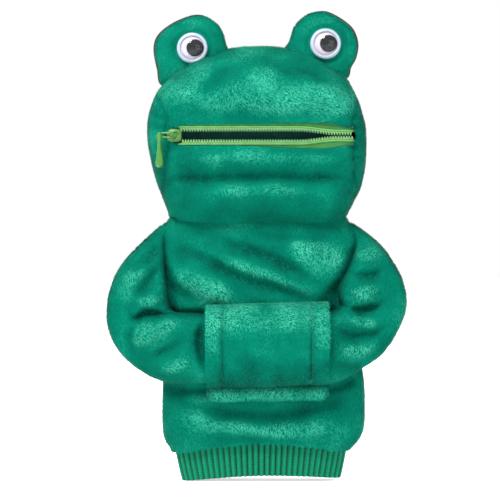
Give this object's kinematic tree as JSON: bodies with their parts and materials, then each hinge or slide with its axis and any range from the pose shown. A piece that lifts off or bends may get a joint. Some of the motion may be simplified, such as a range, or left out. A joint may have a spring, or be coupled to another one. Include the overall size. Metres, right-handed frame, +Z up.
{
  "type": "hand puppet",
  "caption": "Plush frog hand puppet with a ribbed cuff, front pocket holding its folded hands, zip mouth and padded ears with googly eyes.",
  "frame": {"origin": "centre of the cuff's bottom opening, where the hand goes in", "axes": "+Z up from the cuff to the head, the face looks along -Y, +X to the right as seen from the front"},
  "size_m": [0.176, 0.0624, 0.274],
  "materials": {
    "plush": "short soft pile",
    "rib_knit": "ribbed knit",
    "lining": "matt woven",
    "wadding": "loose fibre",
    "dark_felt": "felt",
    "zip_tape": "twill tape",
    "zip_coil": "nylon coil",
    "zip_metal": "satin enamel",
    "pull_tab": "soft moulded",
    "eye_disc": "smooth",
    "eye_clear": "clear moulded",
    "pupil_black": "smooth"
  },
  "bodies": {
    "torso": {"torso_front_panel": "plush", "torso_back_panel": "plush", "rib_cuff": "rib_knit", "pocket_band": "plush"},
    "head": {"head_brow_panel": "plush", "head_chin_panel": "plush", "head_side_gusset_left": "plush", "head_side_gusset_right": "plush", "head_back_panel": "plush", "mouth_lining": "lining", "brow_stuffing": "wadding"},
    "upper_lip": {"zip_tape_upper": "zip_tape", "zip_coil_upper": "zip_coil"},
    "lower_lip": {"zip_tape_lower": "zip_tape", "zip_coil_lower": "zip_coil"},
    "zip_slider": {"zip_slider_body": "zip_metal", "zip_slider_crown": "zip_metal"},
    "pull_link": {"zip_pull_link": "zip_metal"},
    "pull_tab": {"zip_pull_tab": "pull_tab"},
    "left_ear": {"left_ear_front": "plush", "left_ear_back": "dark_felt", "left_ear_wadding": "wadding", "left_eye_back": "eye_disc", "left_eye_dome": "eye_clear"},
    "left_pupil": {"left_pupil": "pupil_black"},
    "left_upper_arm": {"left_upper_arm_shell": "plush", "left_upper_arm_stuffing": "wadding"},
    "left_forearm": {"left_forearm_shell": "plush", "left_forearm_stuffing": "wadding"},
    "right_ear": {"right_ear_front": "plush", "right_ear_back": "dark_felt", "right_ear_wadding": "wadding", "right_eye_back": "eye_disc", "right_eye_dome": "eye_clear"},
    "right_pupil": {"right_pupil": "pupil_black"},
    "right_upper_arm": {"right_upper_arm_shell": "plush", "right_upper_arm_stuffing": "wadding"},
    "right_forearm": {"right_forearm_shell": "plush", "right_forearm_stuffing": "wadding"}
  },
  "joints": [
    {"name": "neck_nod", "type": "hinge", "parent": "torso", "child": "head", "pos_m": [0, 0, 0.152], "axis": [1, 0, 0], "range_deg": [-12, 12]},
    {"name": "zip_slider_travel", "type": "slide", "parent": "head", "child": "zip_slider", "axis": [1, 0, 0], "range_m": [0, 0.095], "deforming": ["zip_coil_upper", "zip_coil_lower"]},
    {"name": "upper_lip_close", "type": "slide", "parent": "head", "child": "upper_lip", "axis": [0, 0, 1], "range_m": [-0.0021, 0]},
    {"name": "lower_lip_close", "type": "slide", "parent": "head", "child": "lower_lip", "axis": [0, 0, 1], "range_m": [0, 0.0021]},
    {"name": "pull_link_flip", "type": "hinge", "parent": "zip_slider", "child": "pull_link", "pos_m": [-0.049, -0.026, 0.2002], "axis": [0, 0, 1], "range_deg": [0, 180]},
    {"name": "pull_tab_swing", "type": "hinge", "parent": "pull_link", "child": "pull_tab", "pos_m": [-0.0568, -0.026, 0.2002], "axis": [0, 1, 0], "range_deg": [-20, 90]},
    {"name": "left_ear_flop", "type": "hinge", "parent": "head", "child": "left_ear", "pos_m": [-0.03496, -0.001, 0.24481], "axis": [0.8829, 0, 0.4695], "range_deg": [-25, 20], "stiffness_Nm_per_rad": 0.03},
    {"name": "left_pupil_roll", "type": "hinge", "parent": "left_ear", "child": "left_pupil", "pos_m": [-0.0389, -0.0081, 0.2524], "axis": [0, 1, 0], "continuous": true},
    {"name": "left_shoulder_swing", "type": "hinge", "parent": "torso", "child": "left_upper_arm", "pos_m": [-0.0585, -0.0085, 0.1395], "axis": [0, 1, 0], "range_deg": [0, 55]},
    {"name": "left_elbow_bend", "type": "hinge", "parent": "left_upper_arm", "child": "left_forearm", "pos_m": [-0.068, -0.0135, 0.0855], "axis": [0, 1, 0], "range_deg": [-28, 0]},
    {"name": "right_ear_flop", "type": "hinge", "parent": "head", "child": "right_ear", "pos_m": [0.03496, -0.001, 0.24681], "axis": [0.8829, 0, -0.4695], "range_deg": [-25, 20], "stiffness_Nm_per_rad": 0.03},
    {"name": "right_pupil_roll", "type": "hinge", "parent": "right_ear", "child": "right_pupil", "pos_m": [0.0389, -0.0081, 0.2549], "axis": [0, 1, 0], "continuous": true},
    {"name": "right_shoulder_swing", "type": "hinge", "parent": "torso", "child": "right_upper_arm", "pos_m": [0.0585, -0.0085, 0.1395], "axis": [0, -1, 0], "range_deg": [0, 55]},
    {"name": "right_elbow_bend", "type": "hinge", "parent": "right_upper_arm", "child": "right_forearm", "pos_m": [0.068, -0.0135, 0.0855], "axis": [0, -1, 0], "range_deg": [-28, 0]}
  ],
  "couplings": [
    {"joint": "upper_lip_close", "follows": "zip_slider_travel", "ratio": -0.021579},
    {"joint": "lower_lip_close", "follows": "zip_slider_travel", "ratio": 0.021579},
    {"joint": "left_elbow_bend", "follows": "left_shoulder_swing", "ratio": -0.5},
    {"joint": "right_elbow_bend", "follows": "right_shoulder_swing", "ratio": -0.5}
  ]
}
